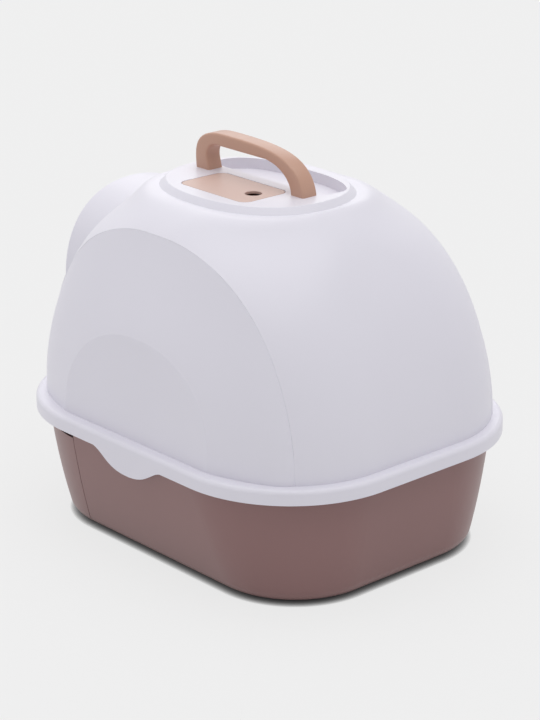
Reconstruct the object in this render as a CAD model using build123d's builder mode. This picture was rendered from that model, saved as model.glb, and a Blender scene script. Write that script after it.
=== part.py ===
"""Hooded litter box with a pull-out drawer.

Millimetres, +Z up. The origin is on the floor under the middle of the skirt
outline. The entrance and the drawer face -Y, and the long sides face +X and -X.
"""
from build123d import *
from math import copysign, cos, radians, sin
import os

os.makedirs("parts", exist_ok=True)

# Overall sizes
rim_half_x = 206.0
rim_half_y = 250.0
rim_corner = 141.0
wall = 3.0

# Heights
floor_gap = 3.0
skirt_low_z = 129.5
flange_top_z = 146.0
dome_top_z = 389.0
platform_z = 396.0
pan_floor_z = 10.0
drawer_top_z = 120.5
pan_top_z = 116.0
ring_low_z = 131.0

# Clearances
seam_gap = 0.9
drawer_gap = 1.6
rim_gap = 0.8
lid_gap = 0.8
clip_gap = 0.4
guide_gap = 0.5
bearing_gap = 0.08

# Hood
rim_round = 5.0
rim_ledge = 13.0
base_half_x = rim_half_x - rim_ledge
base_half_y = rim_half_y - rim_ledge
base_corner = rim_corner - rim_ledge
corner_ease = 10.0
crown_half_x, crown_half_y, crown_shift = 96.0, 116.0, -15.0
side_swell = (4.55, 1.54)
end_swell = (1.82, 1.32)
crease_x = 147.0
crease_step = 0.8
arch_fullness = 2.15
arch_steps = 10
# Cheek sections outside the crease: distance from the middle, half width, crown height, lean
cheek_arches = [
    (170.0, 181.5, 310.0, -3.0),
    (189.0, 131.0, 262.0, 4.0),
    (196.0, 102.0, 235.0, 5.0),
]
panel_low_x = 192.0
panel_high_x = 187.0
panel_top_z = 339.0
porch_set_back = 18.0
porch_front_y = porch_set_back - rim_half_y
porch_half = 102.0
porch_crown_z = 359.0
porch_spring_z = 255.0
porch_full = (0.62, 0.63)
tab_half = 64.0
tab_centre_y = 3.0
tab_low_z = 110.0

# Platform and its hollows
platform_half_x, platform_half_y = 88.0, 107.0
platform_centre_y = -15.0
well_floor_z = 384.0
well_corner = 9.0
strip_edge_x = -13.0
lid_centre = (35.5, -14.5)
lid_size = (65.0, 109.0)
lid_corner = 11.0
lid_thickness = 3.0
finger_hole_r = 9.25
finger_hole_at = (35.0, 18.0)
pocket_size = (55.0, 99.0)
pocket_floor_z = 376.0
pad_height = 8.0
slot_width = 4.0

# Handle
handle_half = 10.5
handle_round = 2.2
handle_top_z = 441.5
grip_low_z = 427.0
grip_front_y, grip_rear_y = -70.0, 8.0
front_foot_y = -95.0
rear_foot_y = 59.0
screw_r = 2.0
screw_head_r = 3.6
screw_cross = (4.0, 0.9, 1.2)
boss_r = 7.0
boss_low_z = 378.0
screw_head_height = 2.4
screw_depth = 12.0

# Entrance
mouth_half = 80.0
mouth_foot_z = 158.0
mouth_spring_z = 292.0
mouth_crown_z = 336.0
mouth_full = (0.55, 0.6)
frame_lip = 11.0
frame_lip_thickness = 2.5
frame_wall = 3.5
frame_depth = 10.0
frame_back_y = porch_front_y + frame_depth
frame_end = 0.8
flap_thickness = 3.0
flap_gap = 2.2
flap_set_back = 3.5
flap_y = porch_front_y + flap_set_back
pivot_z = 283.0
pivot_r = 3.0

# Tray outline at the bottom and at the top, with a slight bow between
tray_low = (163.5, 216.0, 98.0)
tray_high = (202.0, 233.0, 140.0)
tray_bow = (2.4, 1.9, 0.0)
tray_round = 15.0
tray_shift = 2.0
ring_top_z = 143.0
joint_low_y = -114.0
joint_high_y = -101.0

# Feet, runners and pull
foot_r = 11.0
foot_recess = 2.0
foot_places = {
    "foot_front_left": (-92.0, -150.0),
    "foot_front_right": (92.0, -150.0),
    "foot_rear_left": (-95.0, 158.0),
    "foot_rear_right": (95.0, 158.0),
}
tongue = (136.0, 188.0, 78.0)
tongue_room = 3.0
runner_x = 108.0
runner_width = 6.0
runner_length = 250.0
runner_centre_y = 15.0
keel_width = 2.5
keel_height = 3.0
keel_length = 230.0
pull_half = 62.0
pull_front_y, pull_back_y = -240.0, -214.0
pull_corner = 9.0
pull_low_z = 98.0
pull_high_z = 113.0


def rounded(z, half_x, half_y, corner, shift=0.0):
    """A rounded rectangle lying at height z."""
    with BuildSketch(Plane.XY.offset(z)) as outline:
        with Locations((0, shift)):
            RectangleRounded(2 * half_x, 2 * half_y, corner)
    return outline.sketch


def arch_lines(half, spring, crown, full, foot):
    """An arch outline: upright sides from the foot, then a soft crown."""
    low, high = full
    shoulder = spring + low * (crown - spring)
    Polyline((half, spring), (half, foot), (-half, foot), (-half, spring))
    for side in (1, -1):
        Bezier(
            (side * half, spring),
            (side * half, shoulder),
            (side * high * half, crown),
            (0, crown),
        )


def oval_lines(half_x, half_y, centre_y, full=0.63):
    """A full oval, a little squarer than an ellipse."""
    for sx, sy in ((1, 1), (-1, 1), (-1, -1), (1, -1)):
        Bezier(
            (sx * half_x, centre_y),
            (sx * half_x, centre_y + sy * full * half_y),
            (sx * full * half_x, centre_y + sy * half_y),
            (0, centre_y + sy * half_y),
        )


def dome_section(rise, inset):
    """Half width, half length, corner radius and shift at a share of the height."""
    swell_x = max(1 - rise ** side_swell[0], 0) ** (1 / side_swell[1])
    swell_y = max(1 - rise ** end_swell[0], 0) ** (1 / end_swell[1])
    half_x = crown_half_x + (base_half_x - crown_half_x) * swell_x
    half_y = crown_half_y + (base_half_y - crown_half_y) * swell_y
    corner = min(base_corner + corner_ease * rise ** 5, 0.9 * half_x)
    return half_x - inset, half_y - inset, corner - inset, crown_shift * rise ** 2.6


def dome_half_y(rise, x):
    """Front and rear Y of the dome at a height share, on an upright plane at x."""
    half_x, half_y, corner, shift = dome_section(rise, 0.0)
    past = max(x - half_x + corner, 0)
    reach = half_y - corner + max(corner ** 2 - past ** 2, 0) ** 0.5
    return shift - reach, shift + reach


def crease_rise():
    """The height share at which the dome is as wide as the crease."""
    low, high = 0.0, 1.0
    for _ in range(40):
        middle = (low + high) / 2
        if dome_section(middle, 0.0)[0] > crease_x:
            low = middle
        else:
            high = middle
    return low


def crease_points(inset):
    """The big arch where dome and cheek meet, just inside the dome."""
    height = dome_top_z - flange_top_z
    top = crease_rise()
    gap = crease_step + inset
    front, rear = [], []
    for step in range(arch_steps):
        angle = radians(90 * step / arch_steps)
        rise = top * sin(angle)
        low_y, high_y = dome_half_y(rise, crease_x)
        z = flange_top_z + height * rise - gap * sin(angle)
        front.append((low_y + gap * cos(angle), z))
        rear.append((high_y - gap * cos(angle), z))
    crown = (dome_section(top, 0.0)[3], flange_top_z + height * top - gap)
    return front + [crown] + rear[::-1]


def cheek_points(half, crown, lean, inset):
    """A soft arch from foot to foot, leaning along Y towards its crown."""
    points = []
    power = 2 / arch_fullness
    rise = crown - inset - flange_top_z
    for step in range(2 * arch_steps + 1):
        angle = radians(90 * step / arch_steps)
        across = -copysign(abs(cos(angle)) ** power, cos(angle)) * (half - inset)
        up = max(sin(angle), 0) ** power
        points.append((across + lean * sin(angle), flange_top_z + rise * up))
    return points


def arch_splines(points):
    """A smooth arch through the points, in quarters that share their tangents."""
    last = len(points) - 1
    tangents = [(0, 1)]
    for before, after in zip(points, points[2:]):
        tangents.append((after[0] - before[0], after[1] - before[1]))
    tangents.append((0, -1))
    for quarter in range(4):
        start = quarter * last // 4
        end = (quarter + 1) * last // 4
        Spline(*points[start : end + 1], tangents=(tangents[start], tangents[end]))


def cheek_section(x, points):
    """One upright section of the cheek, closed along its foot."""
    with BuildSketch(Plane.YZ.offset(x)) as section:
        with BuildLine():
            arch_splines(points)
            Line(points[-1], points[0])
        make_face()
    return section.sketch


def hood_form(inset):
    """The hood above its flange, moved inwards by the inset."""
    inner_x = crease_x - 0.7 * inset
    with BuildPart() as cheek:
        add(cheek_section(inner_x, crease_points(inset)))
        for x, half, crown, lean in cheek_arches:
            add(cheek_section(x - 0.7 * inset, cheek_points(half, crown, lean, inset)))
        loft()
    with BuildPart() as form:
        for rise in (0.0, 0.15, 0.3, 0.45, 0.6, 0.72, 0.82, 0.9, 0.96, 1.0):
            half_x, half_y, corner, shift = dome_section(rise, inset)
            height = dome_top_z - inset - flange_top_z
            add(rounded(flange_top_z + height * rise, half_x, half_y, corner, shift))
        loft()
        with Locations((0, 0, flange_top_z)):
            Box(2 * inner_x, 3 * rim_half_x, 2 * dome_top_z, mode=Mode.INTERSECT)
        add(cheek.part)
        mirror(cheek.part, about=Plane.YZ)
        with BuildSketch(Plane.XZ):
            with BuildLine():
                Polyline(
                    (panel_low_x - inset, flange_top_z),
                    (panel_high_x - inset, panel_top_z),
                    (230, panel_top_z),
                    (230, 100),
                    (panel_low_x - inset, 100),
                    close=True,
                )
            make_face()
            mirror(about=Plane.YZ)
        extrude(amount=rim_half_y, both=True, mode=Mode.SUBTRACT)
        with BuildSketch(Plane.XZ.offset(100)):
            with BuildLine():
                arch_lines(
                    porch_half - inset, porch_spring_z, porch_crown_z - inset, porch_full, 150.0
                )
            make_face()
        extrude(amount=-porch_front_y - inset - 100)
        with BuildSketch(Plane.XZ.offset(-porch_front_y - inset)):
            with BuildLine():
                arch_lines(porch_half, porch_spring_z, porch_crown_z, porch_full, flange_top_z)
            make_face()
        extrude(amount=40, mode=Mode.SUBTRACT)
    return form.part


def tray_outline(z, inset):
    """Half width, half length and corner radius of the tray at a height."""
    share = (z - floor_gap) / (ring_top_z - floor_gap)
    sizes = []
    for low, high, bow in zip(tray_low, tray_high, tray_bow):
        sizes.append(low + (high - low) * share + 4 * bow * share * (1 - share) - inset)
    return sizes


def tray_form(inset, low=floor_gap, high=ring_top_z, rounding=0.0):
    """The tray's outer form, moved inwards, between two heights."""
    with BuildPart() as form:
        for z in (low, (low + high) / 2, high):
            half_x, half_y, corner = tray_outline(z, inset)
            add(rounded(z, half_x, half_y, corner, tray_shift))
        loft()
        if rounding > 0:
            fillet(form.faces().sort_by(Axis.Z)[0].edges(), rounding)
    return form.part


def front_block(back):
    """Everything in front of the slanted joint, moved back along Y."""
    slope = (joint_high_y - joint_low_y) / (drawer_top_z - pan_floor_z)
    with BuildPart() as block:
        with BuildSketch(Plane.YZ):
            with BuildLine():
                Polyline(
                    (joint_low_y + back - slope * pan_floor_z, 0),
                    (joint_low_y + back + slope * (ring_low_z - pan_floor_z), ring_low_z),
                    (-2 * rim_half_y, ring_low_z),
                    (-2 * rim_half_y, 0),
                    close=True,
                )
            make_face()
        extrude(amount=2 * rim_half_x, both=True)
    return block.part


def tab_lines():
    """The grip tab hanging below the skirt."""
    top_z = skirt_low_z + 1
    for side in (-1, 1):
        Bezier(
            (tab_centre_y + side * tab_half, top_z),
            (tab_centre_y + side * 40, skirt_low_z),
            (tab_centre_y + side * 38, tab_low_z),
            (tab_centre_y, tab_low_z),
        )
    Polyline(
        (tab_centre_y + tab_half, top_z),
        (tab_centre_y + tab_half, top_z + 9),
        (tab_centre_y - tab_half, top_z + 9),
        (tab_centre_y - tab_half, top_z),
    )


def well_lines(grow):
    """The shallow well in the -X half of the platform."""
    far_x = -73.0 - grow
    near_x = strip_edge_x + grow
    rear_y = 77.0 + grow
    front_y = -109.0 - grow
    Line((near_x, front_y), (near_x, rear_y))
    Line((near_x, rear_y), (-42, rear_y))
    Bezier((-42, rear_y), (-57 - grow, rear_y), (far_x, 42 + grow), (far_x, 5))
    Line((far_x, 5), (far_x, -35))
    Bezier((far_x, -35), (far_x, -76 - grow), (-58 - grow, front_y), (-30, front_y))
    Line((-30, front_y), (near_x, front_y))


def mouth(start_y, grow, depth):
    """The arched mouth, grown all round, as a prism from the given Y towards -Y."""
    with BuildPart() as prism:
        with BuildSketch(Plane.XZ.offset(-start_y)):
            with BuildLine():
                arch_lines(
                    mouth_half + grow,
                    mouth_spring_z,
                    mouth_crown_z + grow,
                    mouth_full,
                    mouth_foot_z - grow,
                )
            make_face()
        extrude(amount=depth)
    return prism.part


def handle_lines():
    """Side view of the handle: a steep front foot, a flat grip and a swept rear foot."""
    front, rear = front_foot_y, rear_foot_y
    Line((front - 11.3, platform_z), (front - 12.5, platform_z + 18))
    Bezier(
        (front - 12.5, platform_z + 18),
        (front - 13, platform_z + 31),
        (grip_front_y - 27, handle_top_z - 3.5),
        (grip_front_y, handle_top_z),
    )
    Line((grip_front_y, handle_top_z), (grip_rear_y, handle_top_z - 1))
    Bezier(
        (grip_rear_y, handle_top_z - 1),
        (grip_rear_y + 32, handle_top_z - 2.5),
        (rear + 1, platform_z + 24),
        (rear + 9.7, platform_z),
    )
    Line((rear + 9.7, platform_z), (rear - 9.5, platform_z))
    Bezier(
        (rear - 9.5, platform_z),
        (rear - 10, platform_z + 14),
        (grip_rear_y + 26, grip_low_z - 3),
        (grip_rear_y, grip_low_z),
    )
    Line((grip_rear_y, grip_low_z), (grip_front_y - 2, grip_low_z))
    Bezier(
        (grip_front_y - 2, grip_low_z),
        (grip_front_y - 14, grip_low_z),
        (front + 6, platform_z + 23),
        (front + 7, platform_z + 14),
    )
    Line((front + 7, platform_z + 14), (front + 10.7, platform_z))
    Line((front + 10.7, platform_z), (front - 11.3, platform_z))


hood_outer = hood_form(0.0)
hood_inner = hood_form(wall)

with BuildPart() as hood:
    add(rounded(skirt_low_z, rim_half_x, rim_half_y, rim_corner))
    extrude(amount=flange_top_z - skirt_low_z)
    fillet(hood.faces().sort_by(Axis.Z)[-1].edges(), rim_round)
    with BuildSketch(Plane.YZ.offset(rim_half_x - wall)):
        with BuildLine():
            tab_lines()
        make_face()
    extrude(amount=wall)
    mirror(hood.part, about=Plane.YZ)
    add(hood_outer)
    # Raised platform with its step
    with BuildSketch(Plane.XY.offset(dome_top_z - 2)):
        with BuildLine():
            oval_lines(platform_half_x + 9, platform_half_y + 9, platform_centre_y)
        make_face()
    with BuildSketch(Plane.XY.offset(platform_z)):
        with BuildLine():
            oval_lines(platform_half_x, platform_half_y, platform_centre_y)
        make_face()
    loft()
    fillet(hood.faces().sort_by(Axis.Z)[-1].edges(), 1.5)
    # Inside of the dome, open downwards through the flange
    add(hood_inner, mode=Mode.SUBTRACT)
    extrude(hood_inner.faces().sort_by(Axis.Z)[0], amount=flange_top_z - ring_top_z, mode=Mode.SUBTRACT)
    add(rounded(skirt_low_z - 1, rim_half_x - wall, rim_half_y - wall, rim_corner - wall))
    extrude(amount=ring_top_z - skirt_low_z + 1, mode=Mode.SUBTRACT)
    # Walls under the well, the lid pocket and the handle feet
    with BuildSketch(Plane.XY.offset(well_floor_z - wall)):
        with BuildLine():
            well_lines(wall)
        make_face()
    extrude(amount=dome_top_z - well_floor_z + wall)
    with BuildSketch(Plane.XY.offset(pocket_floor_z - wall)):
        with Locations(lid_centre):
            RectangleRounded(pocket_size[0] + 2 * wall, pocket_size[1] + 2 * wall, lid_corner)
    extrude(amount=dome_top_z - pocket_floor_z + wall)
    with BuildSketch(Plane.XY.offset(dome_top_z - wall)):
        with Locations(lid_centre):
            RectangleRounded(lid_size[0] + 2 * wall, lid_size[1] + 2 * wall, lid_corner + wall)
    extrude(amount=wall)
    with BuildSketch(Plane.XY.offset(boss_low_z)):
        with Locations((0, front_foot_y), (0, rear_foot_y)):
            Circle(boss_r)
    extrude(amount=dome_top_z - boss_low_z)
    # Well
    for z, grow in ((platform_z, 0.0), (well_floor_z, -1.0)):
        with BuildSketch(Plane.XY.offset(z)) as well_section:
            with BuildLine():
                well_lines(grow)
            make_face()
            fillet(well_section.vertices().group_by(Axis.X)[-1], well_corner)
    loft(mode=Mode.SUBTRACT)
    # Lid seat, pocket and its slots
    with BuildSketch(Plane.XY.offset(platform_z - lid_thickness)):
        with Locations(lid_centre):
            RectangleRounded(lid_size[0] + 2 * lid_gap, lid_size[1] + 2 * lid_gap, lid_corner + lid_gap)
    extrude(amount=lid_thickness + 1, mode=Mode.SUBTRACT)
    with BuildSketch(Plane.XY.offset(pocket_floor_z)):
        with Locations(lid_centre):
            RectangleRounded(pocket_size[0], pocket_size[1], lid_corner - wall)
    extrude(amount=platform_z - pocket_floor_z, mode=Mode.SUBTRACT)
    with BuildSketch(Plane.XY.offset(pocket_floor_z - wall - 1)):
        with Locations(lid_centre):
            with GridLocations(2.5 * slot_width, 0, 5, 1):
                SlotOverall(pocket_size[1] - 20, slot_width, rotation=90)
    extrude(amount=wall + 2, mode=Mode.SUBTRACT)
    # Screw holes under the handle
    with BuildSketch(Plane.XY.offset(boss_low_z)):
        with Locations((0, front_foot_y), (0, rear_foot_y)):
            Circle(screw_r + clip_gap)
    extrude(amount=platform_z - boss_low_z, mode=Mode.SUBTRACT)
    # Mouth
    add(mouth(porch_front_y + 2 * wall, clip_gap, 4 * wall), mode=Mode.SUBTRACT)
hood.part.label = "hood"

with BuildPart() as base_shell:
    add(tray_form(0.0, rounding=tray_round))
    add(front_block(0.0), mode=Mode.SUBTRACT)
    # Rim under the skirt
    add(
        rounded(
            ring_top_z - wall,
            rim_half_x - wall - rim_gap,
            rim_half_y - wall - rim_gap,
            rim_corner - wall,
        )
    )
    extrude(amount=wall)
    add(tray_form(wall, floor_gap + wall, ring_top_z + 1, tray_round - wall), mode=Mode.SUBTRACT)
    # Floor tongue under the drawer front
    with BuildSketch(Plane.XY.offset(floor_gap)):
        with Locations((0, tray_shift)):
            RectangleRounded(2 * tongue[0], 2 * tongue[1], tongue[2])
    extrude(amount=wall)
    # Pads over the feet
    with BuildSketch(Plane.XY.offset(floor_gap + wall)):
        with Locations(*foot_places.values()):
            Circle(foot_r + wall)
    extrude(amount=foot_recess)
    with BuildSketch(Plane.XY.offset(floor_gap)):
        with Locations(*foot_places.values()):
            Circle(foot_r + 0.1)
    extrude(amount=foot_recess, mode=Mode.SUBTRACT)
    # Runners under the pan
    for side in (-1, 1):
        with BuildSketch(Plane.XY.offset(floor_gap + wall)):
            with Locations((side * runner_x, runner_centre_y)):
                RectangleRounded(runner_width, runner_length, 0.4 * runner_width)
        extrude(amount=pan_floor_z - floor_gap - wall)
base_shell.part.label = "base_shell"

with BuildPart() as drawer_front:
    add(tray_form(0.0, floor_gap, drawer_top_z, tray_round))
    add(front_block(-seam_gap), mode=Mode.INTERSECT)
with BuildPart() as front_room:
    add(tray_form(wall, floor_gap + wall, drawer_top_z + 1, tray_round - wall))
    add(front_block(-seam_gap - wall), mode=Mode.INTERSECT)
with BuildPart() as front_floor:
    add(tray_form(wall, pan_floor_z, pan_floor_z + wall))
    add(front_block(-seam_gap), mode=Mode.INTERSECT)
with BuildPart() as drawer:
    # Front end, flush with the tray, over a pan that runs inside the base
    add(drawer_front.part)
    add(tray_form(wall + drawer_gap, pan_floor_z, pan_top_z, tray_round - 2 * wall))
    add(front_room.part, mode=Mode.SUBTRACT)
    # Room above the floor tongue of the base
    with BuildSketch(Plane.XY):
        with Locations((0, tray_shift)):
            RectangleRounded(
                2 * (tongue[0] + tongue_room), 2 * (tongue[1] + tongue_room), tongue[2] + tongue_room
            )
    extrude(amount=floor_gap + 2 * wall, mode=Mode.SUBTRACT)
    # Floor and inside of the pan
    add(front_floor.part)
    add(
        tray_form(2 * wall + drawer_gap, pan_floor_z + wall, drawer_top_z + 1, tray_round - 3 * wall),
        mode=Mode.SUBTRACT,
    )
    # Keels beside the runners
    for side in (-1, 1):
        with BuildSketch(Plane.XY.offset(pan_floor_z - keel_height)):
            keel_x = runner_x + runner_width / 2 + guide_gap + keel_width / 2
            with Locations((side * keel_x, runner_centre_y)):
                RectangleRounded(keel_width, keel_length, 0.48 * keel_width)
        extrude(amount=keel_height)
    # Pull under the front rim
    with BuildSketch(Plane.XY.offset(pull_low_z)):
        with Locations((0, (pull_front_y + pull_back_y) / 2)):
            RectangleRounded(2 * pull_half, pull_back_y - pull_front_y, pull_corner)
    extrude(amount=pull_high_z - pull_low_z)
drawer.part.label = "drawer"

with BuildPart() as handle:
    with BuildSketch(Plane.YZ):
        with BuildLine():
            handle_lines()
        make_face()
    extrude(amount=handle_half, both=True)
    long_edges = handle.edges().filter_by(
        lambda edge: abs(abs(edge.center().X) - handle_half) < 0.01 and edge.center().Z > platform_z + 1
    )
    fillet(long_edges, handle_round)
    with BuildSketch(Plane.XY.offset(platform_z)):
        with Locations((0, front_foot_y), (0, rear_foot_y)):
            Circle(screw_r)
    extrude(amount=screw_depth, mode=Mode.SUBTRACT)
handle.part.label = "handle"

with BuildPart() as handle_screws:
    with BuildSketch(Plane.XY.offset(boss_low_z - screw_head_height)):
        with Locations((0, front_foot_y), (0, rear_foot_y)):
            Circle(screw_head_r)
    extrude(amount=screw_head_height)
    with BuildSketch(Plane.XY.offset(boss_low_z)):
        with Locations((0, front_foot_y), (0, rear_foot_y)):
            Circle(screw_r)
    extrude(amount=platform_z - boss_low_z + screw_depth - 1)
    with BuildSketch(Plane.XY.offset(boss_low_z - screw_head_height)):
        with Locations((0, front_foot_y), (0, rear_foot_y)):
            Rectangle(screw_cross[0], screw_cross[1])
            Rectangle(screw_cross[1], screw_cross[0])
    extrude(amount=screw_cross[2], mode=Mode.SUBTRACT)
handle_screws.part.label = "handle_screws"

with BuildPart() as deodorizer_lid:
    with BuildSketch(Plane.XY.offset(platform_z - lid_thickness)):
        with Locations(lid_centre):
            RectangleRounded(lid_size[0], lid_size[1], lid_corner)
    extrude(amount=lid_thickness)
    with BuildSketch(Plane.XY.offset(platform_z)):
        with Locations(finger_hole_at):
            Circle(finger_hole_r)
    extrude(amount=-lid_thickness, mode=Mode.SUBTRACT)
    chamfer(deodorizer_lid.faces().sort_by(Axis.Z)[-1].edges(), 0.5)
deodorizer_lid.part.label = "deodorizer_lid"

with BuildPart() as deodorizer_pad:
    with BuildSketch(Plane.XY.offset(pocket_floor_z)):
        with Locations(lid_centre):
            RectangleRounded(pocket_size[0] - 2, pocket_size[1] - 2, lid_corner - wall - 1)
    extrude(amount=pad_height)
deodorizer_pad.part.label = "deodorizer_pad"

with BuildPart() as entrance_frame:
    add(mouth(frame_back_y, 0.0, frame_back_y - porch_front_y + 1))
    add(mouth(porch_front_y, frame_lip, frame_lip_thickness))
    chamfer(entrance_frame.faces().sort_by(Axis.Y)[0].edges(), 1.0)
    add(mouth(frame_back_y + 1, -frame_wall, 30), mode=Mode.SUBTRACT)
    with BuildSketch(Plane.YZ):
        with Locations((flap_y, pivot_z)):
            Circle(pivot_r + bearing_gap)
    extrude(amount=mouth_half - frame_end, both=True, mode=Mode.SUBTRACT)
entrance_frame.part.label = "entrance_frame"

with BuildPart() as entrance_flap:
    add(mouth(flap_y + flap_thickness / 2, -frame_wall - flap_gap, flap_thickness))
    with BuildSketch(Plane.YZ):
        with Locations((flap_y, pivot_z)):
            Circle(pivot_r)
    extrude(amount=mouth_half - frame_end - 0.4, both=True)
    with BuildSketch(Plane.XZ.offset(-flap_y)):
        with Locations((0, pivot_z)):
            Rectangle(2 * (mouth_half - frame_wall - flap_gap), 2 * pivot_r + 4)
    extrude(amount=flap_thickness / 2, both=True)
entrance_flap.part.label = "entrance_flap"

pieces = [
    hood,
    base_shell,
    drawer,
    handle,
    handle_screws,
    deodorizer_lid,
    deodorizer_pad,
    entrance_frame,
    entrance_flap,
]

for foot_name, foot_place in foot_places.items():
    with BuildPart() as foot:
        with BuildSketch():
            with Locations(foot_place):
                Circle(foot_r)
        extrude(amount=floor_gap + foot_recess)
        chamfer(foot.faces().sort_by(Axis.Z)[0].edges(), 0.8)
    foot.part.label = foot_name
    pieces.append(foot)

for piece in pieces:
    export_step(piece.part, f"parts/{piece.part.label}.step")
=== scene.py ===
import bmesh
import bpy
import math
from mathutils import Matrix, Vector


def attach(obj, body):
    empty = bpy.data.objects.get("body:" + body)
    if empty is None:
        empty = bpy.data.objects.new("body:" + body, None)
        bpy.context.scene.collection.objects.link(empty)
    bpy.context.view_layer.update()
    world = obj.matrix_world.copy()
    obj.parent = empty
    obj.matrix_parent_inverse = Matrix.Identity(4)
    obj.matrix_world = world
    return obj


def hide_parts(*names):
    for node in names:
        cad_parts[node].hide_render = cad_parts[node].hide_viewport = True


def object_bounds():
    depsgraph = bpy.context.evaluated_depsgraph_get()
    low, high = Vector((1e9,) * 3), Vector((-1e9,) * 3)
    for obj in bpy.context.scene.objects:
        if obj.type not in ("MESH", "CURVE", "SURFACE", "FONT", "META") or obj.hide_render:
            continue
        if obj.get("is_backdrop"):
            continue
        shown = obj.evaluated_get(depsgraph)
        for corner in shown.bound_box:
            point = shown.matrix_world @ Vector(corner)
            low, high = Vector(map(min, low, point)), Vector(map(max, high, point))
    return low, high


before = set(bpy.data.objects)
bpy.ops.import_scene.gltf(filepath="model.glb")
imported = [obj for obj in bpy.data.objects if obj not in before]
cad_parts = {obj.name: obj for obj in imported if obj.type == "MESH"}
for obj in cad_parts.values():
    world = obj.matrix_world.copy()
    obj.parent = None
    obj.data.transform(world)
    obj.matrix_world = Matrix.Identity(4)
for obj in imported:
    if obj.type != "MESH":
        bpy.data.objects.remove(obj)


def write_size(label, sizes):
    low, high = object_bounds()
    sizes[label] = [list(low), list(high)]


sizes = {}
write_size("cad", sizes)

# Values that every moulded finish shares
moulded_ior = 1.46
moulded_specular = 0.4
drift_scale = 9.0
drift_detail = 2.0
grain_detail = 3.0
grain_height = 0.0005


def linear(*srgb):
    """8-bit display colour to the linear colour that Blender wants."""
    out = []
    for v in srgb:
        c = v / 255
        out.append(c / 12.92 if c <= 0.04045 else ((c + 0.055) / 1.055) ** 2.4)
    return (*out, 1.0)


def plastic(name, colour, roughness=0.5, grain=900.0, depth=0.02, tone=0.015, clear=0.0):
    """Moulded plastic: a fine satin grain and a very slight, soft drift of tone."""
    mat = bpy.data.materials.new(name)
    mat.use_nodes = True
    nodes, links = mat.node_tree.nodes, mat.node_tree.links
    shader = nodes["Principled BSDF"]
    shader.inputs["Roughness"].default_value = roughness
    shader.inputs["IOR"].default_value = moulded_ior
    shader.inputs["Specular IOR Level"].default_value = moulded_specular
    place = nodes.new("ShaderNodeTexCoord")

    # Drift of tone: sockets 6 and 7 are the two colours, output 2 is their mix
    drift = nodes.new("ShaderNodeTexNoise")
    drift.inputs["Scale"].default_value = drift_scale
    drift.inputs["Detail"].default_value = drift_detail
    links.new(place.outputs["Object"], drift.inputs["Vector"])
    mix = nodes.new("ShaderNodeMix")
    mix.data_type = "RGBA"
    mix.inputs[6].default_value = tuple(c * (1 - tone) for c in colour[:3]) + (1.0,)
    mix.inputs[7].default_value = tuple(min(c * (1 + tone), 1.0) for c in colour[:3]) + (1.0,)
    links.new(drift.outputs["Fac"], mix.inputs[0])
    links.new(mix.outputs[2], shader.inputs["Base Color"])

    # Satin grain
    grains = nodes.new("ShaderNodeTexNoise")
    grains.inputs["Scale"].default_value = grain
    grains.inputs["Detail"].default_value = grain_detail
    links.new(place.outputs["Object"], grains.inputs["Vector"])
    bump = nodes.new("ShaderNodeBump")
    bump.inputs["Strength"].default_value = depth
    bump.inputs["Distance"].default_value = grain_height
    links.new(grains.outputs["Fac"], bump.inputs["Height"])
    links.new(bump.outputs["Normal"], shader.inputs["Normal"])
    if clear:
        shader.inputs["Alpha"].default_value = 1 - clear
    return mat


# Finishes
white = plastic("white_plastic", linear(231, 229, 238), 0.36)
brown = plastic("brown_plastic", linear(144, 111, 109), 0.36)
tan = plastic("tan_plastic", linear(213, 186, 176), 0.45)
# Painted shade: the handle is the lid's tan plastic made darker and more saturated, so that the
# shade of its side faces is in the colour
shaded_handle_tan = plastic("handle_plastic_shaded", linear(199, 158, 138), 0.3)
smoke = plastic("smoked_plastic", linear(150, 130, 122), 0.2, clear=0.45)
felt = plastic("brown_felt", linear(205, 158, 140), 0.95, grain=400.0, depth=0.8)
steel = plastic("screw_steel", linear(190, 190, 192), 0.3)
steel.node_tree.nodes["Principled BSDF"].inputs["Metallic"].default_value = 1.0
rubber = plastic("foot_rubber", linear(46, 42, 42), 0.8)

finish_of = {
    "hood": white,
    "base_shell": brown,
    "drawer": brown,
    "handle": shaded_handle_tan,
    "handle_screws": steel,
    "deodorizer_lid": tan,
    "deodorizer_pad": felt,
    "entrance_frame": tan,
    "entrance_flap": smoke,
    "foot_front_left": rubber,
    "foot_front_right": rubber,
    "foot_rear_left": rubber,
    "foot_rear_right": rubber,
}
for node, material in finish_of.items():
    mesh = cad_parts[node].data
    mesh.materials.clear()
    mesh.materials.append(material)


def rail(controls, steps=10):
    """Points in metres on joined curves, given by their controls in millimetres, as (y, z)."""
    points = [Vector(controls[0])]
    for start in range(0, len(controls) - 1, 3):
        a, b, c, d = (Vector(p) for p in controls[start:start + 4])
        for k in range(1, steps + 1):
            t, s = k / steps, 1 - k / steps
            points.append(a * s**3 + b * (3 * s * s * t) + c * (3 * s * t * t) + d * t**3)
    return [p / 1000 for p in points]


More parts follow.
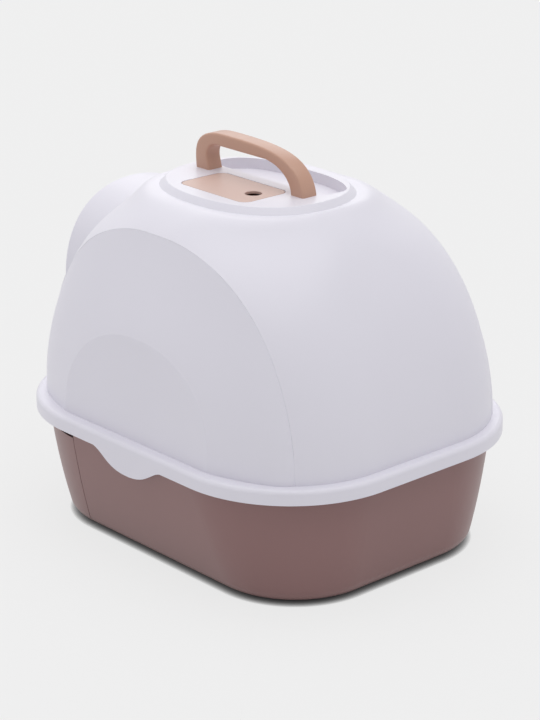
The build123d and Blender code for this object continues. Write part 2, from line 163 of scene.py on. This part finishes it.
def arched_bar(name, outer, inner, half, edge_round, edge_segments=5, sharp_degrees=50):
    """A bar of rounded section: its first foot is extruded along the outer and the inner line."""
    bm = bmesh.new()
    bmesh.ops.create_grid(bm, x_segments=1, y_segments=1, size=half)
    for v in bm.verts:
        v.co.yz = outer[0] if v.co.y < 0 else inner[0]
    end = bm.faces[:]
    long_edges = []
    for k in range(1, len(outer)):
        grown = bmesh.ops.extrude_face_region(bm, geom=end)["geom"]
        if k > 1:
            # The face that grew would stay behind as a wall inside the bar
            bmesh.ops.delete(bm, geom=end, context="FACES_ONLY")
        corners = [g for g in grown if isinstance(g, bmesh.types.BMVert)]
        end = [g for g in grown if isinstance(g, bmesh.types.BMFace)]
        for v in corners:
            long_edges += [e for e in v.link_edges if e.other_vert(v) not in corners]
            to_outer = (v.co.yz - outer[k - 1]).length
            to_inner = (v.co.yz - inner[k - 1]).length
            v.co.yz = outer[k] if to_outer < to_inner else inner[k]
    bmesh.ops.recalc_face_normals(bm, faces=bm.faces)
    bmesh.ops.bevel(
        bm, geom=long_edges, offset=edge_round, offset_type="OFFSET",
        segments=edge_segments, profile=0.5, affect="EDGES",
        clamp_overlap=False, material=-1,
    )
    for face in bm.faces:
        face.smooth = True
    for edge in bm.edges:
        edge.smooth = edge.calc_face_angle() < math.radians(sharp_degrees)
    mesh = bpy.data.meshes.new(name)
    bm.to_mesh(mesh)
    bm.free()
    piece = bpy.data.objects.new(name, mesh)
    bpy.context.scene.collection.objects.link(piece)
    return piece


# Handle: feet, height and hand gap as in the solid, the grip's top as one long arch
handle_half = 0.0105
handle_round = 0.0024
outer_line = [
    (-106.3, 396), (-107, 401), (-107.3, 406), (-107.3, 411),
    (-107.6, 431), (-93, 441.4), (-60, 441.4),
    (-25.2, 441.4), (3.8, 441.1), (25.8, 436),
    (40.5, 432.5), (52, 427), (60, 418),
    (65.3, 412), (69.2, 403.5), (69.8, 396),
]
inner_line = [
    (-84.3, 396), (-85.5, 400.7), (-86.8, 405.3), (-88, 410),
    (-89, 419), (-84, 427), (-72, 427),
    (-45, 427), (-19, 427), (8, 427),
    (22.3, 425.4), (33.3, 420.4), (40.3, 413.9),
    (46.1, 408.6), (49.3, 402.3), (49.5, 396),
]
handle_arch = arched_bar(
    "handle_arch", rail(outer_line), rail(inner_line), handle_half, handle_round
)
handle_arch.data.materials.append(shaded_handle_tan)
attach(handle_arch, "hood")
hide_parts("handle")

# Colour of the background, also seen in mirrors and through clear plastic
pale = linear(239, 239, 239)


def seen_share(nodes, links):
    """1 for rays that show the background: from the camera, a mirror or clear plastic."""
    path = nodes.new("ShaderNodeLightPath")
    total = path.outputs["Is Camera Ray"]
    for name in ("Is Glossy Ray", "Is Transmission Ray"):
        largest = nodes.new("ShaderNodeMath")
        largest.operation = "MAXIMUM"
        links.new(total, largest.inputs[0])
        links.new(path.outputs[name], largest.inputs[1])
        total = largest.outputs[0]
    return total


def floor_paper(shadow=0.12, reach=0.009, steepness=2.0):
    """Pale paper that keeps a share of the soft shadow and a dark line at the contact."""
    mat = plastic("floor_paper", linear(240, 240, 240), 0.9, depth=0.0, tone=0.001)
    nodes, links = mat.node_tree.nodes, mat.node_tree.links

    # Pale glow, dimmed where the object stands close above the paper
    contact = nodes.new("ShaderNodeAmbientOcclusion")
    contact.inputs["Distance"].default_value = reach
    steep = nodes.new("ShaderNodeMath")
    steep.operation = "POWER"
    steep.inputs[1].default_value = steepness
    links.new(contact.outputs["AO"], steep.inputs[0])
    glow = nodes.new("ShaderNodeEmission")
    glow.inputs["Color"].default_value = pale
    links.new(steep.outputs[0], glow.inputs["Strength"])

    # The lit paper, with its shadow, shows through the glow
    share = nodes.new("ShaderNodeMath")
    share.operation = "MULTIPLY"
    share.inputs[1].default_value = 1 - shadow
    links.new(seen_share(nodes, links), share.inputs[0])
    blend = nodes.new("ShaderNodeMixShader")
    links.new(share.outputs[0], blend.inputs[0])
    links.new(nodes["Principled BSDF"].outputs[0], blend.inputs[1])
    links.new(glow.outputs[0], blend.inputs[2])
    links.new(blend.outputs[0], nodes["Material Output"].inputs["Surface"])
    return mat


# Floor
floor_size = 60
bpy.ops.mesh.primitive_plane_add(size=floor_size)
floor = bpy.context.object
floor.name = "floor"
floor.data.materials.append(floor_paper())
floor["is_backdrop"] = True

# Surround: a dim, even light on the object, and the pale background where it is seen
sky_strength = 0.48
world = bpy.data.worlds.new("surround")
bpy.context.scene.world = world
world.use_nodes = True
sky = world.node_tree
sky.nodes["Background"].inputs["Color"].default_value = (0.985, 0.98, 1.0, 1.0)
sky.nodes["Background"].inputs["Strength"].default_value = sky_strength
backdrop = sky.nodes.new("ShaderNodeBackground")
backdrop.inputs["Color"].default_value = pale
choose = sky.nodes.new("ShaderNodeMixShader")
sky.links.new(seen_share(sky.nodes, sky.links), choose.inputs[0])
sky.links.new(sky.nodes["Background"].outputs[0], choose.inputs[1])
sky.links.new(backdrop.outputs[0], choose.inputs[2])
sky.links.new(choose.outputs[0], sky.nodes["World Output"].inputs["Surface"])


def sun(name, azimuth, elevation, strength, angle):
    """A soft lamp at infinity; azimuth 0 shines from -Y, 90 from +X."""
    lamp = bpy.data.lights.new(name, "SUN")
    lamp.energy = strength
    lamp.angle = math.radians(angle)
    holder = bpy.data.objects.new(name, lamp)
    bpy.context.scene.collection.objects.link(holder)
    a, e = math.radians(azimuth), math.radians(elevation)
    toward = Vector((math.sin(a) * math.cos(e), -math.cos(a) * math.cos(e), math.sin(e)))
    holder.rotation_euler = toward.to_track_quat("Z", "Y").to_euler()


# Lamps
sun("overhead", azimuth=215, elevation=86, strength=1.37, angle=70)
sun("front", azimuth=10, elevation=35, strength=0.28, angle=60)
sun("back", azimuth=318, elevation=30, strength=0.3, angle=36)

# Camera
aim = Vector((-0.00524, 0.0, 0.19046))
camera_data = bpy.data.cameras.new("camera")
camera_data.sensor_fit = "AUTO"
camera_data.sensor_width = 36.0
camera_data.lens = 116.54
camera_data.clip_end = 100
camera = bpy.data.objects.new("camera", camera_data)
camera.location = (1.6405, 1.8210, 1.0872)
camera.rotation_euler = (Vector(camera.location) - aim).to_track_quat("Z", "Y").to_euler()
bpy.context.scene.collection.objects.link(camera)
bpy.context.scene.camera = camera
bpy.context.scene.view_settings.view_transform = "Standard"

write_size("visual", sizes)
